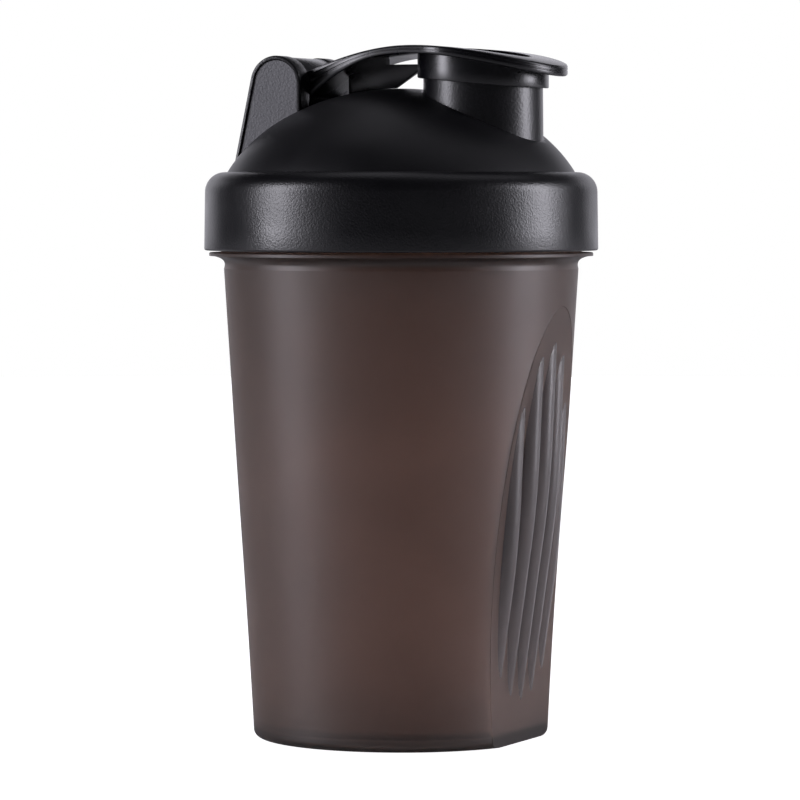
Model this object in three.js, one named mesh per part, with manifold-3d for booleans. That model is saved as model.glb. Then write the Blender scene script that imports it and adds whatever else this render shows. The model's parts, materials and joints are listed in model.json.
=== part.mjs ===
// Protein shaker bottle: ribbed cup, screw-on domed lid, flip cap, hinge pin, seal and mixing grid.
// Millimetres, +Z up. Origin at the centre of the base; the spout is towards +X, the hinge towards -X.
import * as THREE from 'three';
import { mergeVertices } from 'three/addons/utils/BufferGeometryUtils.js';
import Module from 'manifold-3d';

const wasm = await Module();
wasm.setup();

// ---- driving dimensions ----------------------------------------------------------------------

const ROUND = 64;                 // facets round every large circle
const CLEARANCE = 0.3;            // gap between pieces that touch or turn in each other

// cup
const baseRadius = 35.6;
const cupTaper = 0.0632;          // growth of the radius per millimetre of height
const bodyHeight = 113.2;         // base to the foot of the shoulder
const shoulderHeight = 3.1;
const rimBand = 0.8;              // thin upright edge of the shoulder
const cupWall = 1.5;
const cupFloor = 3;
const baseCorner = 2;
const footWidth = 7;              // flat ring that the cup stands on
const footRecess = 0.8;
const neckHeight = 13.9;          // shoulder top to the cup's brim
const neckStep = 0.45;            // neck radius over the body's top radius
const neckWall = 2.5;
const gridSeatWidth = 1;          // ledge inside the neck that carries the mixing grid
const gridSeatDepth = 5;          // brim down to that ledge

// grips: two opposite hollow facets, each with raised half-round reeds
const gripFlat = 31.4;            // distance of the facet from the axis at its foot
const gripFoot = 4.8;             // height where the facet starts to curve outwards
const gripCurve = 459;            // radius of that curve
const reedCount = 5;
const reedRadius = 3.14;
const reedDepth = 9;
const reedRampHeight = 9.9;       // where the middle reed leaves the facet
const reedRampSlope = 0.145;
const reedRampCrown = 98;         // radius across the feet of the reeds
const reedCrestRadius = 36.06;    // crest cone of the reeds, at the base
const reedCrestTaper = 0.0458;

// screw thread
const threadLead = 6;
const threadTurns = 1.35;
const threadBead = 1.5;
const threadGap = 2.4;            // neck to the collar's inner wall
const threadStart = 2.9;          // shoulder top to the first turn

// lid
const collarWall = 1.9;
const collarHeight = 18.8;
const collarFillet = 4.8;
const collarDraft = 0.2;
const collarGap = 0.5;            // shoulder to the collar
const shoulderInset = 1.2;        // shoulder edge inside the collar's face
const domeInset = 1.6;            // dome's widest radius inside the collar's face
const domeRise = 34;              // vertical half-axis of the dome
const domeSink = 13.9;            // collar top down to the dome's centre
const domeWall = 2;
const domeGroove = 0.4;

// spout
const spoutOffset = 21.5;
const spoutRadius = 14.3;
const spoutWall = 1.5;
const spoutRise = 4.9;            // mouth above the dome's top, on the spout's axis
const spoutTilt = 5 * Math.PI / 180;

// hinge
const hingeOffset = 26.8;
const earRadius = 6.7;
const earThickness = 5.5;
const earSlant = 12.3 * Math.PI / 180;
const earRim = 0.8;
const earRecess = 0.5;
const pinRadius = 1.5;
const pinStop = 2;                // closed end of the near ear's hole
const knuckleRadius = 6.5;
const knuckleGap = 0.32;          // knuckle to the dome below it
const knuckleWidth = 17.4;

// flip cap
const armApex = 8;                // highest point of the arch, from the bottle's axis
const armRise = 9.9;              // arch top above the dome's top
const archHingeRadius = 77;
const archSpoutRadius = 118;
const armRoot = 6.2;              // thickness where the arm meets the knuckle
const armFlare = 9.8;             // the thickness grows by (x / armFlare)^2 towards the hinge
const armEdge = 1.9;
const armEdgeDisc = 2.6;
const discRadius = 20.2;
const flareReach = 13;            // length of the handles of the curve from the arm to the disc
const flareJoin = 112 * Math.PI / 180; // where that curve meets the disc, from its front
const ringWall = 1;
const ringLap = 3.8;              // skirt's edge below the spout's mouth
const plugWall = 1.3;
const plugReach = 6.9;            // plug's foot below the spout's mouth
const plugDraft = 0.6;
const keelThickness = 2;
const keelHeel = 13.6;            // keel's hinge end, from the bottle's axis
const keelToe = 1.4;              // where the keel lifts off the dome
const keelSlope = 33 * Math.PI / 180;
const keelSlotHeight = 2.2;
const keelSlotStart = 3.5;

// seal and grid
const sealThickness = 1.8;
const sealWidth = 3.2;
const gridThickness = 2;
const gridBar = 1.6;
const gridSpokes = 12;
const gridHub = 5;

// ---- places worked out from them -------------------------------------------------------------

// Height of an axis across Y that stands a given distance off the bottle's axis and off the dome.
function heightOverDome(offset, distance) {
  const place = new THREE.Vector2();
  let low = 0;
  let high = Math.PI / 2;
  for (let i = 0; i < 40; i++) {
    const turn = (low + high) / 2;
    const normal = new THREE.Vector2(Math.cos(turn) / domeRadius, Math.sin(turn) / domeRise).normalize();
    place.set(domeRadius * Math.cos(turn), domeCentre + domeRise * Math.sin(turn));
    place.addScaledVector(normal, distance);
    if (place.x > offset) low = turn;
    else high = turn;
  }
  return place.y;
}

const bodyTopRadius = baseRadius + cupTaper * bodyHeight;
const shoulderTop = bodyHeight + shoulderHeight + rimBand;
const neckRadius = bodyTopRadius + neckStep;
const neckBore = neckRadius - neckWall;
const brim = shoulderTop + neckHeight;
const collarInner = neckRadius + threadGap;
const collarOuter = collarInner + collarWall;
const shoulderRadius = collarOuter - shoulderInset;
const collarBottom = shoulderTop + collarGap;
const collarTop = collarBottom + collarHeight;
const landHeight = brim + sealThickness + 2 * CLEARANCE;
const domeRadius = collarOuter - domeInset;
const domeCentre = collarTop - domeSink;
const domeTop = domeCentre + domeRise;
const spoutBore = spoutRadius - spoutWall;
const spoutMouth = domeTop + spoutRise;
const hingeX = -hingeOffset;
const hingeZ = heightOverDome(hingeOffset, knuckleRadius + knuckleGap);
const earInner = knuckleWidth / 2 + CLEARANCE;
const earOuter = earInner + earThickness;
const pinBore = pinRadius + CLEARANCE;
const armTop = domeTop + armRise;
const ringInner = spoutRadius + CLEARANCE + 0.1;
const ringOuter = ringInner + ringWall;
const ringEdge = spoutMouth - ringLap;
const plugFoot = spoutMouth - plugReach;
const plugRadius = spoutBore - CLEARANCE;
const gridRadius = neckBore + gridSeatWidth - CLEARANCE;
const gridSeat = brim - gridSeatDepth;

// How far the arch has fallen below its top at a distance x from the bottle's axis.
function archDrop(x) {
  const radius = x < armApex ? archHingeRadius : archSpoutRadius;
  return radius - Math.sqrt(radius * radius - (x - armApex) * (x - armApex));
}

// ---- shape helpers ---------------------------------------------------------------------------

function solidOf(geometry) {
  geometry.deleteAttribute('normal');
  geometry.deleteAttribute('uv');
  const merged = mergeVertices(geometry, 1e-4);
  const corners = merged.index.array;
  const triangles = [];
  for (let i = 0; i < corners.length; i += 3) {
    const [a, b, c] = corners.slice(i, i + 3);
    if (a !== b && b !== c && c !== a) triangles.push(a, b, c);
  }
  return new wasm.Manifold(new wasm.Mesh({
    numProp: 3,
    vertProperties: merged.attributes.position.array,
    triVerts: Uint32Array.from(triangles),
  }));
}

function namedMesh(name, solid, material) {
  const { vertProperties, triVerts } = solid.getMesh();
  const geometry = new THREE.BufferGeometry();
  geometry.setAttribute('position', new THREE.BufferAttribute(vertProperties, 3));
  geometry.setIndex(new THREE.BufferAttribute(triVerts, 1));
  geometry.computeVertexNormals();
  const mesh = new THREE.Mesh(geometry, material);
  mesh.name = name;
  return mesh;
}

function plastic(color, roughness) {
  return new THREE.MeshStandardMaterial({ color, roughness, metalness: 0 });
}

// Turns a profile of [radius, height] pairs about the Z axis.
function turned(profile, segments = ROUND) {
  const points = profile.map(([r, z]) => new THREE.Vector2(r, z));
  return solidOf(new THREE.LatheGeometry(points, segments).rotateX(Math.PI / 2));
}

// A ring with a rectangular section.
function ring(inner, outer, low, high, segments = ROUND) {
  return turned([[inner, low], [outer, low], [outer, high], [inner, high], [inner, low]], segments);
}

function upright(radius, low, high, x, segments = ROUND) {
  const cylinder = new THREE.CylinderGeometry(radius, radius, high - low, segments);
  return solidOf(cylinder.rotateX(Math.PI / 2).translate(x, 0, (low + high) / 2));
}

// A cylinder along Y on the hinge axis.
function onHinge(radius, from, to, segments = 24) {
  const cylinder = new THREE.CylinderGeometry(radius, radius, to - from, segments);
  return solidOf(cylinder.translate(hingeX, (from + to) / 2, hingeZ));
}

function outline(points) {
  return new THREE.Shape(points.map(([x, y]) => new THREE.Vector2(x, y)));
}

// Extrudes an outline of [x, z] pairs along Y, from one y to the other.
function acrossY(points, from, to) {
  const slab = new THREE.ExtrudeGeometry(outline(points), { depth: to - from, bevelEnabled: false });
  return solidOf(slab.rotateX(Math.PI / 2).translate(0, to, 0));
}

// Extrudes an outline of [x, y] pairs along Z.
function alongZ(points, low, high) {
  const slab = new THREE.ExtrudeGeometry(outline(points), { depth: high - low, bevelEnabled: false });
  return solidOf(slab.translate(0, 0, low));
}

function arc(cx, cy, radius, from, to, steps) {
  return Array.from({ length: steps + 1 }, (_, i) => {
    const angle = from + (to - from) * i / steps;
    return [cx + radius * Math.cos(angle), cy + radius * Math.sin(angle)];
  });
}

// Everything above (or below) a plane that falls towards +X at the spout's tilt.
function tiltedHalf(height, above) {
  const size = 200;
  const box = new THREE.BoxGeometry(size, size, size).translate(0, 0, above ? size / 2 : -size / 2);
  return solidOf(box.rotateY(spoutTilt).translate(spoutOffset, 0, height));
}

// One side of the screw thread: a round bead that climbs about the Z axis.
class Helix extends THREE.Curve {
  constructor(radius, low, phase) {
    super();
    Object.assign(this, { radius, low, phase });
  }

  getPoint(t, target = new THREE.Vector3()) {
    const angle = this.phase + t * threadTurns * 2 * Math.PI;
    const height = this.low + t * threadTurns * threadLead;
    return target.set(this.radius * Math.cos(angle), this.radius * Math.sin(angle), height);
  }
}

function thread(radius, low, phase) {
  const section = new THREE.Shape(arc(0, 0, threadBead, 0, 2 * Math.PI * 5 / 6, 5)
    .map(([x, y]) => new THREE.Vector2(x, y)));
  const steps = Math.round(threadTurns * 36);
  const extrudePath = new Helix(radius, low, phase);
  return solidOf(new THREE.ExtrudeGeometry(section, { steps, bevelEnabled: false, extrudePath }));
}

// ---- cup ---------------------------------------------------------------------------------------

function cupRadius(z) {
  return baseRadius + cupTaper * z;
}

// Distance of a grip's facet from the axis at a height.
function gripDistance(z) {
  const rise = Math.max(0, z - gripFoot);
  return gripFlat + rise * rise / (2 * gripCurve);
}

// The block that a grip cuts off the cup, moved inwards by the wall for the cup's inside.
function gripBlock(inset, low) {
  const high = bodyHeight - 4;
  const far = 2 * bodyTopRadius;
  const steps = 15;
  const face = Array.from({ length: steps + 1 }, (_, i) => {
    const z = i === 0 ? low : gripFoot + (high - gripFoot) * (i - 1) / (steps - 1);
    return [gripDistance(z) - inset, z];
  });
  return acrossY([...face, [far, high], [far, low]].reverse(), -far, far);
}

// A long bar with a half-round crest that runs along a straight line in the XZ plane.
function reedBar(y, start, end) {
  const section = outline([[-reedRadius, -reedDepth], [reedRadius, -reedDepth],
    ...arc(0, -reedRadius, reedRadius, 0, Math.PI, 6)]);
  const along = new THREE.Vector3(end[0] - start[0], 0, end[1] - start[1]);
  const bar = new THREE.ExtrudeGeometry(section, { depth: along.length(), bevelEnabled: false });
  along.normalize();
  const outward = new THREE.Vector3(along.z, 0, -along.x);
  const side = new THREE.Vector3(0, -1, 0);
  const place = new THREE.Matrix4().makeBasis(side, outward, along).setPosition(start[0], y, start[1]);
  return solidOf(bar.applyMatrix4(place));
}

function reed(index) {
  const y = (index - (reedCount - 1) / 2) * 2 * reedRadius;
  const low = cupFloor - 1;
  const high = bodyHeight - 5;
  const rampAt = z => gripFlat + reedRampSlope * (z - reedRampHeight) - y * y / (2 * reedRampCrown);
  const crestAt = z => Math.sqrt((reedCrestRadius + reedCrestTaper * z) ** 2 - y * y);
  const ramp = reedBar(y, [rampAt(low), low], [rampAt(high), high]);
  return ramp.intersect(reedBar(y, [crestAt(low), low], [crestAt(high), high]));
}

function grip(body) {
  let result = body.subtract(gripBlock(0, -1));
  for (let i = 0; i < reedCount; i++) result = result.add(reed(i));
  return result;
}

function cupSolid() {
  const footInner = baseRadius - baseCorner - footWidth;
  const shoulder = Array.from({ length: 5 }, (_, i) => {
    const t = i / 4;
    return [bodyTopRadius + (shoulderRadius - bodyTopRadius) * (1 - Math.cos(t * Math.PI / 2)) ** 0.7,
      bodyHeight + shoulderHeight * Math.sin(t * Math.PI / 2)];
  });
  const outer = turned([[0, footRecess], [footInner - 1, footRecess], [footInner, 0],
    ...arc(cupRadius(baseCorner) - baseCorner, baseCorner, baseCorner, -Math.PI / 2, 0, 3),
    ...shoulder,
    [shoulderRadius, shoulderTop], [neckRadius, shoulderTop], [neckRadius, brim - 0.4],
    [neckRadius - 0.4, brim], [0, brim]]);
  const inner = turned([[0, cupFloor],
    ...arc(cupRadius(cupFloor) - cupWall - baseCorner, cupFloor + baseCorner, baseCorner,
      -Math.PI / 2, 0, 2),
    [cupRadius(bodyHeight) - cupWall, bodyHeight], [neckBore, shoulderTop],
    [neckBore, gridSeat], [neckBore + gridSeatWidth, gridSeat],
    [neckBore + gridSeatWidth, brim + 1], [0, brim + 1]])
    .subtract(gripBlock(cupWall, cupFloor - 1))
    .rotate([0, 0, 180])
    .subtract(gripBlock(cupWall, cupFloor - 1));
  return grip(grip(outer).rotate([0, 0, 180]))
    .add(thread(neckRadius, shoulderTop + threadStart, 0))
    .subtract(inner);
}

// ---- lid ---------------------------------------------------------------------------------------

// Points up a dome's outline, from a height to the top.
function domeArc(radius, rise, from, steps) {
  const start = Math.asin((from - domeCentre) / rise);
  return Array.from({ length: steps + 1 }, (_, i) => {
    const angle = start + (Math.PI / 2 - start) * i / steps;
    return [i === steps ? 0 : radius * Math.cos(angle), domeCentre + rise * Math.sin(angle)];
  });
}

function earOutline(inset) {
  const radius = earRadius - inset;
  const bottom = landHeight + 1;
  const top = arc(hingeX, hingeZ, radius, 0, Math.PI - earSlant, 10);
  const [x, z] = top[top.length - 1];
  return [[x - (z - bottom) * Math.tan(earSlant), bottom], [hingeX + radius, bottom], ...top];
}

// An ear on one side of the knuckle, with a raised rim round its outer face.
function ear(side) {
  const body = acrossY(earOutline(0), side < 0 ? -earOuter : earInner, side < 0 ? -earInner : earOuter);
  const face = side * (earOuter - earRecess);
  return body.subtract(acrossY(earOutline(earRim), Math.min(face, 2 * face), Math.max(face, 2 * face)));
}

function lidSolid() {
  const crown = collarOuter - collarDraft;
  const shell = turned([[0, collarBottom], [collarOuter - 0.4, collarBottom],
    [collarOuter, collarBottom + 0.4],
    ...arc(crown - collarFillet, collarTop - collarFillet, collarFillet, 0, Math.PI / 2, 4),
    ...domeArc(domeRadius, domeRise, collarTop - domeGroove, 8)]);
  const cavity = turned([[0, collarBottom - 1], [collarInner, collarBottom - 1],
    [collarInner, landHeight],
    ...domeArc(domeRadius - domeWall, domeRise - domeWall, landHeight, 6)]);
  const spout = upright(spoutRadius, collarTop, spoutMouth + 5, spoutOffset, 48)
    .subtract(tiltedHalf(spoutMouth, true));
  const mouth = upright(spoutBore, domeCentre, spoutMouth + 6, spoutOffset, 48);
  return shell.add(spout).add(ear(-1)).add(ear(1))
    .subtract(cavity)
    .subtract(mouth)
    .add(thread(collarInner, shoulderTop + threadStart - threadLead / 2, 0)
      .subtract(upright(2 * collarOuter, 0, collarBottom + 0.5, 0)))
    .subtract(onHinge(pinBore, -earOuter + pinStop, earOuter + 1, 16));
}

// ---- flip cap ----------------------------------------------------------------------------------

function armThickness(x) {
  if (x < 0) return Math.min(armRoot, armEdge + (x / armFlare) ** 2);
  if (x < armApex) return armEdge;
  return armEdge + (armEdgeDisc - armEdge) * (x - armApex) / (spoutOffset + discRadius - armApex);
}

// The arch seen from the side, between its top and a depth below it.
function archSlab(depthAt, low) {
  const from = hingeX;
  const to = spoutOffset + discRadius + 1;
  const steps = 16;
  const stations = Array.from({ length: steps + 1 }, (_, i) => from + (to - from) * i / steps);
  const top = stations.map(x => [x, armTop - archDrop(x)]);
  const under = low === undefined ? stations.map(x => [x, armTop - archDrop(x) - depthAt(x)])
    : [[from, low], [to, low]];
  return acrossY([...under, ...top.reverse()], -discRadius - 1, discRadius + 1);
}

// The cap seen from above: a narrow arm that flares into a disc over the spout.
function armPlan() {
  const half = knuckleWidth / 2;
  const [towards, across] = [Math.cos(flareJoin), Math.sin(flareJoin)];
  const [jx, jy] = [spoutOffset + discRadius * towards, discRadius * across];
  const flare = new THREE.CubicBezierCurve(
    new THREE.Vector2(jx, jy),
    new THREE.Vector2(jx - flareReach * across, jy + flareReach * towards),
    new THREE.Vector2(hingeX + earRadius + flareReach, half),
    new THREE.Vector2(hingeX + earRadius, half),
  ).getPoints(8).slice(1).map(p => [p.x, p.y]);
  const upper = [...arc(spoutOffset, 0, discRadius, 0, flareJoin, 14), ...flare, [hingeX, half]];
  const lower = upper.slice(1).map(([x, y]) => [x, -y]).reverse();
  return [...upper, ...lower];
}

// Web under the arm: it follows the dome, then rises to the skirt; a slot runs under the arch.
function keel() {
  const heel = -keelHeel;
  const toe = -keelToe;
  const meet = spoutOffset - ringOuter + ringWall / 2;
  const domeAt = x => domeCentre + domeRise * Math.sqrt(1 - (x / domeRadius) ** 2) + 2 * CLEARANCE;
  const rest = Array.from({ length: 5 }, (_, i) => heel + (toe - heel) * i / 4).map(x => [x, domeAt(x)]);
  const web = acrossY([...rest, [meet, domeAt(toe) + (meet - toe) * Math.tan(keelSlope)],
    [meet, armTop], [heel, armTop]], -keelThickness / 2, keelThickness / 2);
  const slotTop = armTop - armEdge - archDrop(meet);
  const slot = acrossY([[-keelSlotStart, slotTop - keelSlotHeight], [meet + 1, slotTop - keelSlotHeight],
    [meet + 1, armTop], [-keelSlotStart, armTop]], -keelThickness, keelThickness);
  return web.subtract(slot);
}

function flipCapSolid() {
  const plan = alongZ(armPlan(), domeTop - 5, armTop + 5);
  const plate = archSlab(armThickness).intersect(plan);
  const under = archSlab(null, domeCentre);
  const skirt = upright(ringOuter, domeTop, armTop, spoutOffset, 48)
    .subtract(upright(ringInner, domeTop - 1, armTop + 1, spoutOffset, 48));
  const plugBody = turned([[0, plugFoot], [plugRadius - plugDraft, plugFoot],
    [plugRadius, plugFoot + 2], [plugRadius, armTop], [0, armTop]], 48)
    .translate([spoutOffset, 0, 0]);
  const recess = upright(plugRadius - plugWall, plugFoot + plugWall, armTop + 5, spoutOffset, 48);
  return plate.add(skirt.subtract(tiltedHalf(ringEdge, false)).intersect(under))
    .add(plugBody.intersect(under))
    .add(keel().intersect(under))
    .add(onHinge(knuckleRadius, -knuckleWidth / 2, knuckleWidth / 2))
    .subtract(recess)
    .subtract(onHinge(pinBore, -knuckleWidth, knuckleWidth, 16));
}

// ---- seal, grid and pin ------------------------------------------------------------------------

function sealSolid() {
  const inner = neckBore + gridSeatWidth;
  return ring(inner, inner + sealWidth, brim + CLEARANCE, brim + CLEARANCE + sealThickness);
}

function gridSolid() {
  const low = gridSeat + CLEARANCE;
  const high = low + gridThickness;
  const rimInner = neckBore - 1.5;
  let grid = ring(rimInner, gridRadius, low, high, 48);
  const bands = [rimInner / 3, rimInner * 2 / 3];
  for (const radius of bands) grid = grid.add(ring(radius, radius + gridBar, low, high, 24));
  grid = grid.add(upright(gridHub, low, high, 0, 16));
  for (let i = 0; i < 2 * gridSpokes; i++) {
    const from = i % 2 === 0 ? gridHub - 1 : bands[1];
    const length = rimInner + 1 - from;
    const bar = new THREE.BoxGeometry(length, gridBar, gridThickness);
    bar.translate(from + length / 2, 0, (low + high) / 2).rotateZ(i * Math.PI / gridSpokes);
    grid = grid.add(solidOf(bar));
  }
  return grid;
}

function pinSolid() {
  return onHinge(pinRadius, -earOuter + pinStop + CLEARANCE, earOuter - CLEARANCE, 16);
}

// ---- assembly ----------------------------------------------------------------------------------

const bottle = new THREE.Group();
const satinBlack = plastic(0x17171a, 0.45);
bottle.add(namedMesh('cup', cupSolid(), plastic(0x4a3d38, 0.4)));
bottle.add(namedMesh('mixing_grid', gridSolid(), satinBlack));
bottle.add(namedMesh('lid_seal', sealSolid(), plastic(0x8b8b8b, 0.8)));
bottle.add(namedMesh('lid', lidSolid(), satinBlack));
bottle.add(namedMesh('hinge_pin', pinSolid(), satinBlack));
bottle.add(namedMesh('flip_cap', flipCapSolid(), plastic(0x1b1b1e, 0.35)));

export default bottle;
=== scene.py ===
"""Protein shaker bottle: smoked cup with reeded grips, domed screw lid, flip cap, pin, seal and grid."""

import json
import math

import bmesh
import bpy
from bpy.props import FloatProperty, FloatVectorProperty, IntProperty, PointerProperty
from mathutils import Matrix, Vector


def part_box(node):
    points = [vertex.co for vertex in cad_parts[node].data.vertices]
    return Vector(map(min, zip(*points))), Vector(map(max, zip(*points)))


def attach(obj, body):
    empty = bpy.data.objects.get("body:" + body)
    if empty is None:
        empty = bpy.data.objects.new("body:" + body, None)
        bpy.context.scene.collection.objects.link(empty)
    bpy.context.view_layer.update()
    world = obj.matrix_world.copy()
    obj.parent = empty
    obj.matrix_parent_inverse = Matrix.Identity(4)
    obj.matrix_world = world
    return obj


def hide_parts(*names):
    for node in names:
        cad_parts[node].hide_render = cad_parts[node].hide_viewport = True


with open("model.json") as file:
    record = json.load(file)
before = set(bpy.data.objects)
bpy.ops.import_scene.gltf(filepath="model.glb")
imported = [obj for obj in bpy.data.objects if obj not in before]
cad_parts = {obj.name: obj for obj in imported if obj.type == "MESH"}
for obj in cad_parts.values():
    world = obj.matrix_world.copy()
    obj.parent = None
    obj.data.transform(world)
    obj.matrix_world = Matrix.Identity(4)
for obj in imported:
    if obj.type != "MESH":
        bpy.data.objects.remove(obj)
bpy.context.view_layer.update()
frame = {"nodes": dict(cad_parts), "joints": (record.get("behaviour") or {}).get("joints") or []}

bl_info = {
    "name": "Shaker Bottle",
    "version": (1, 0, 0),
    "blender": (4, 5, 0),
    "location": "View3D > Sidebar > Shaker",
    "description": "Builds a protein shaker bottle with a screw lid and a flip cap",
    "category": "Add Mesh",
}

CUP_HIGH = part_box("cup")[1]
LID_LOW, LID_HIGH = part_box("lid")
CAP_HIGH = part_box("flip_cap")[1]
SEAL_LOW, SEAL_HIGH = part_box("lid_seal")
HINGE = Vector(next(j["pos_m"] for j in frame["joints"] if j["name"] == "cap_flip"))
MM = 0.001


# ---- sizes and colours that a user would change ----------------------------------------------

def length(label, description, default):
    """A length in metres."""
    return FloatProperty(name=label, description=description, default=default, unit="LENGTH",
                         precision=5)


def angle(label, description, degrees):
    """An angle, given in degrees."""
    return FloatProperty(name=label, description=description, default=math.radians(degrees),
                         subtype="ANGLE")


def share(label, description, default):
    """A plain number from 0 to 1."""
    return FloatProperty(name=label, description=description, default=default, min=0, max=1,
                         subtype="FACTOR")


def colour(label, description, default):
    """A colour, linear."""
    return FloatVectorProperty(name=label, description=description, default=default, size=3,
                               min=0, max=1, subtype="COLOR")


class ShakerCup(bpy.types.PropertyGroup):
    """Sizes of the cup."""

    base_radius: length("Base radius", "Radius of the cup at the table", 35.6 * MM)
    taper: FloatProperty(name="Taper", description="Growth of the radius with height", default=0.0632)
    body_height: length("Body height", "Table to the foot of the shoulder", 113.2 * MM)
    shoulder_radius: length("Shoulder radius", "Outer radius of the shoulder", CUP_HIGH.y)
    shoulder_top: length("Shoulder top", "Height of the shoulder's rim", 117.1 * MM)
    wall: length("Wall", "Thickness of the cup's side", 1.5 * MM)
    floor: length("Floor", "Thickness of the cup's floor", 3.0 * MM)
    neck_step: length("Neck step", "Neck radius over the body's top radius", 0.45 * MM)
    neck_wall: length("Neck wall", "Thickness of the threaded neck", 2.5 * MM)
    corner: length("Corner", "Rounding of the cup's lower edge, inside and out", 2 * MM)
    foot_width: length("Foot width", "Width of the ring that the cup stands on", 7 * MM)
    foot_rise: length("Foot rise", "Height of the hollow inside that ring", 0.8 * MM)
    thread_start: length("Thread start", "Shoulder to the foot of the thread", 2.9 * MM)
    thread_lead: length("Thread lead", "Rise of the thread for each turn", 6 * MM)
    thread_turns: FloatProperty(name="Thread turns", description="Turns of the thread", default=1.35)
    thread_bead: length("Thread bead", "Radius of the thread's round bead", 1.5 * MM)


class ShakerGrip(bpy.types.PropertyGroup):
    """Sizes of the two reeded grips."""

    flat: length("Flat", "Distance of the facet from the axis at its foot", 31.4 * MM)
    foot: length("Foot", "Height where the facet starts to curve", 4.8 * MM)
    curve: length("Curve", "Radius of the facet's curve", 459 * MM)
    reeds: IntProperty(name="Reeds", description="Raised reeds in each grip", default=5, min=1)
    reed_radius: length("Reed radius", "Radius of a reed's round crest", 3.14 * MM)
    ramp_height: length("Ramp height", "Height where the middle reed leaves the facet", 9.9 * MM)
    ramp_slope: FloatProperty(name="Ramp slope", description="Slope of the reeds' feet", default=0.145)
    ramp_crown: length("Ramp crown", "Radius across the reeds' feet", 98 * MM)
    crest_radius: length("Crest radius", "Radius of the reeds' crest cone at the table", 36.06 * MM)
    margin: length("Margin", "Reeds' ends to the table and to the shoulder", 4 * MM)
    outline: length("Outline", "Half-width of the fine groove round a grip", 0.22 * MM)
    crest_taper: FloatProperty(name="Crest taper", description="Growth of that radius with height",
                               default=0.0458)


class ShakerLid(bpy.types.PropertyGroup):
    """Sizes of the lid."""

    collar_radius: length("Collar radius", "Outer radius of the collar", LID_HIGH.x)
    collar_top: length("Collar top", "Height of the collar's upper edge", 136.4 * MM)
    collar_wall: length("Collar wall", "Thickness of the collar", 1.9 * MM)
    collar_fillet: length("Collar fillet", "Rounding of the collar's upper edge", 4.8 * MM)
    dome_radius: length("Dome radius", "Horizontal half-axis of the dome", 45.9 * MM)
    dome_rise: length("Dome rise", "Vertical half-axis of the dome", 34.0 * MM)
    dome_centre: length("Dome centre", "Height of the dome's centre", 122.5 * MM)
    dome_wall: length("Dome wall", "Thickness of the dome", 2.0 * MM)
    spout_offset: length("Spout offset", "Bottle's axis to the spout's axis", 21.5 * MM)
    spout_radius: length("Spout radius", "Outer radius of the spout at its mouth", 14.3 * MM)
    spout_wall: length("Spout wall", "Thickness of the spout", 1.5 * MM)
    spout_mouth: length("Spout mouth", "Height of the mouth on the spout's axis", 161.4 * MM)
    spout_tilt: angle("Spout tilt", "Slope of the mouth", 5)
    seal_width: length("Seal width", "Width of the silicone ring under the lid", SEAL_HIGH.x - 41.7 * MM)
    seal_gap: length("Seal gap", "Play between the seal and the lid above it", 0.3 * MM)
    ear_radius: length("Ear radius", "Rounding of a hinge ear about the pin", 6.7 * MM)
    ear_inner: length("Ear inner face", "Middle plane to an ear's inner face", 9.0 * MM)
    ear_thickness: length("Ear thickness", "Thickness of a hinge ear", 5.5 * MM)
    ear_slant: angle("Ear slant", "Lean of the ear's rear edge", 12.3)


class ShakerCap(bpy.types.PropertyGroup):
    """Sizes of the flip cap."""

    top: length("Top", "Height of the arch", CAP_HIGH.z)
    apex: length("Apex", "Bottle's axis to the arch's highest point", 8.0 * MM)
    hinge_curve: length("Hinge-side curve", "Radius of the arch towards the hinge", 77 * MM)
    spout_curve: length("Spout-side curve", "Radius of the arch towards the spout", 118 * MM)
    disc_radius: length("Disc radius", "Radius of the disc over the spout", 20.2 * MM)
    root: length("Root", "Thickness where the arm meets the knuckle", 6.2 * MM)
    flare: length("Flare", "Over this distance the arm thickens by one millimetre", 9.8 * MM)
    edge: length("Edge", "Thickness of the arm under the arch", 1.9 * MM)
    join: angle("Join", "Where the arm's flare meets the disc, from the spout's side", 112)
    reach: length("Reach", "How far the flare runs straight on at each end", 13 * MM)
    edge_disc: length("Edge at disc", "Thickness of the disc's rim", 2.6 * MM)
    knuckle_radius: length("Knuckle radius", "Outer radius of the hinge knuckle", 6.45 * MM)
    knuckle_width: length("Knuckle width", "Width of the hinge knuckle", 17.4 * MM)
    pin_radius: length("Pin radius", "Radius of the hinge pin", 1.5 * MM)
    ring_edge: length("Skirt edge", "Height of the skirt's lower edge on the spout's axis", 157.6 * MM)
    ring_radius: length("Skirt radius", "Outer radius of the skirt", 15.7 * MM)
    plug_foot: length("Plug foot", "Height of the plug's lower end", 154.5 * MM)
    recess_radius: length("Recess radius", "Radius of the hollow in the plug", 11.2 * MM)


class ShakerFinish(bpy.types.PropertyGroup):
    """Colours and gloss."""

    smoke: colour("Smoke", "Tint of the cup", (0.385, 0.272, 0.226))
    # The reeds' tint is darker than the cup's smoke: painted shade that gives the reeds contrast.
    reed_smoke_and_shade: colour("Reed smoke and shade", "Tint of the reeds", (0.125, 0.1, 0.096))
    cup_clearness: share("Cup clearness", "How much light the cup lets through", 0.93)
    cup_roughness: share("Cup roughness", "Frosting of the cup", 0.46)
    reed_clearness: share("Reed clearness", "How much light the reeds let through", 0.62)
    reed_roughness: share("Reed roughness", "Gloss of the reeds", 0.31)
    black: colour("Black", "Colour of the lid", (0.0022, 0.0021, 0.0034))
    collar_roughness: share("Collar roughness", "Gloss of the grained collar", 0.33)
    dome_roughness: share("Dome roughness", "Gloss of the smooth dome", 0.42)
    cap_roughness: share("Cap roughness", "Gloss of the flip cap", 0.26)
    grain_depth: length("Grain depth", "Height of the moulded grain", 0.06 * MM)
    bead_grey: colour("Blasted grey", "Colour of the ears' sunk faces", (0.12, 0.12, 0.128))
    silicone: colour("Silicone", "Colour of the seal", (0.32, 0.32, 0.33))


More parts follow.
